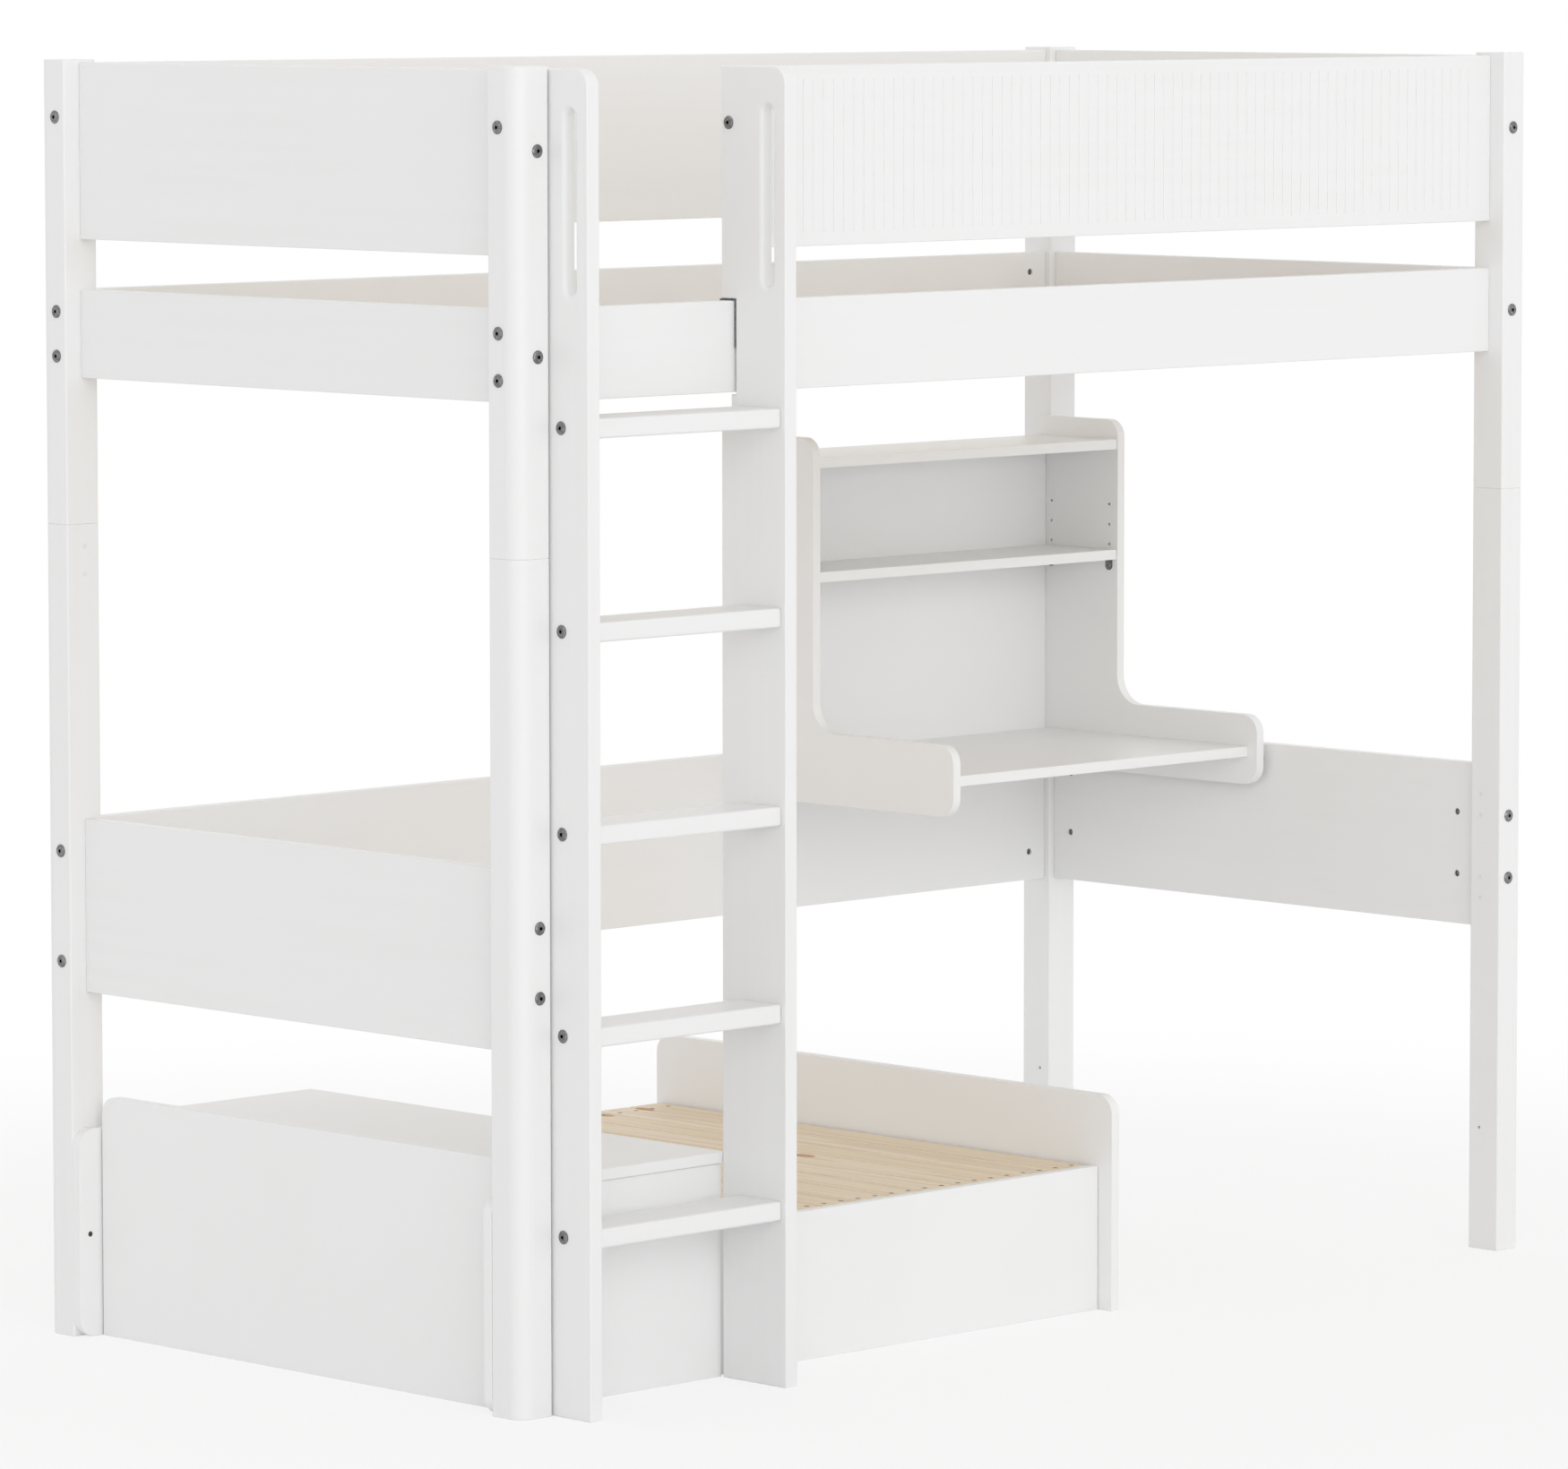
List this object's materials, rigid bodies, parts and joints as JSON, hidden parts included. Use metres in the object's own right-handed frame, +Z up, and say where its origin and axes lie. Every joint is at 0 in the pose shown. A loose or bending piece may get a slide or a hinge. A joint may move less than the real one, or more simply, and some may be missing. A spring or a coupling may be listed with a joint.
{
  "type": "loft bed",
  "caption": "White loft bed on tall posts with a ladder, grooved safety board, hanging desk with shelves, chest with lid and slatted seat.",
  "frame": {"origin": "on the floor, under the middle of the whole object's box", "axes": "+X along the bed from the ladder end to the desk end, +Y from the ladder side to the back, +Z up"},
  "size_m": [2.1048, 1.0904, 1.8443],
  "materials": {
    "white_lacquered_wood": "satin white lacquer on solid wood",
    "white_lacquered_board": "satin white lacquer on fibreboard",
    "bare_pine": "planed, untreated",
    "beech": "plain",
    "zinc_plated_steel": "dull zinc plate",
    "white_plastic": "matt"
  },
  "bodies": {
    "bed": {"back_belt_board": "white_lacquered_wood", "back_safety_board": "white_lacquered_wood", "back_side_rail": "white_lacquered_wood", "back_slat_ledger": "bare_pine", "barrel_nuts": "zinc_plated_steel", "bed_slats": "bare_pine", "chest_back_panel": "white_lacquered_board", "chest_bottom": "white_lacquered_board", "chest_end_panel": "white_lacquered_board", "chest_front_panel": "white_lacquered_board", "chest_side_panel": "white_lacquered_board", "countersunk_screws": "zinc_plated_steel", "desk_back_panel": "white_lacquered_board", "desk_middle_shelf": "white_lacquered_board", "desk_side_left": "white_lacquered_board", "desk_side_right": "white_lacquered_board", "desk_top": "white_lacquered_board", "desk_top_shelf": "white_lacquered_board", "dowels": "beech", "frame_bolts": "zinc_plated_steel", "front_safety_board": "white_lacquered_wood", "front_side_rail": "white_lacquered_wood", "front_slat_ledger": "bare_pine", "hole_caps": "white_plastic", "ladder_bolts": "zinc_plated_steel", "ladder_hooks": "zinc_plated_steel", "ladder_stile_left": "white_lacquered_wood", "ladder_stile_right": "white_lacquered_wood", "ladder_tread_1": "white_lacquered_wood", "ladder_tread_2": "white_lacquered_wood", "ladder_tread_3": "white_lacquered_wood", "ladder_tread_4": "white_lacquered_wood", "ladder_tread_5": "white_lacquered_wood", "ladder_washer_and_cap_nut": "zinc_plated_steel", "left_belt_board": "white_lacquered_wood", "left_end_rail": "white_lacquered_wood", "left_safety_board": "white_lacquered_wood", "panel_hinge_leaves": "zinc_plated_steel", "post_back_left_lower": "white_lacquered_wood", "post_back_left_upper": "white_lacquered_wood", "post_back_right_lower": "white_lacquered_wood", "post_back_right_upper": "white_lacquered_wood", "post_front_left_lower": "white_lacquered_wood", "post_front_left_upper": "white_lacquered_wood", "post_front_right_lower": "white_lacquered_wood", "post_front_right_upper": "white_lacquered_wood", "post_studs": "zinc_plated_steel", "right_belt_board": "white_lacquered_wood", "right_end_rail": "white_lacquered_wood", "right_safety_board": "white_lacquered_wood", "seat_back_ledger": "bare_pine", "seat_back_panel": "white_lacquered_board", "seat_cross_board": "white_lacquered_board", "seat_end_panel": "white_lacquered_board", "seat_front_ledger": "bare_pine", "seat_front_panel": "white_lacquered_board", "seat_slats": "bare_pine", "shelf_pins": "zinc_plated_steel"},
    "lid": {"chest_lid": "white_lacquered_board", "lid_hinge_leaves": "zinc_plated_steel"}
  },
  "joints": [
    {"name": "lid_hinge", "type": "hinge", "parent": "bed", "child": "lid", "pos_m": [-0.9902, 0.0358, 0.324], "axis": [0, -1, 0], "range_deg": [0, 90]}
  ]
}
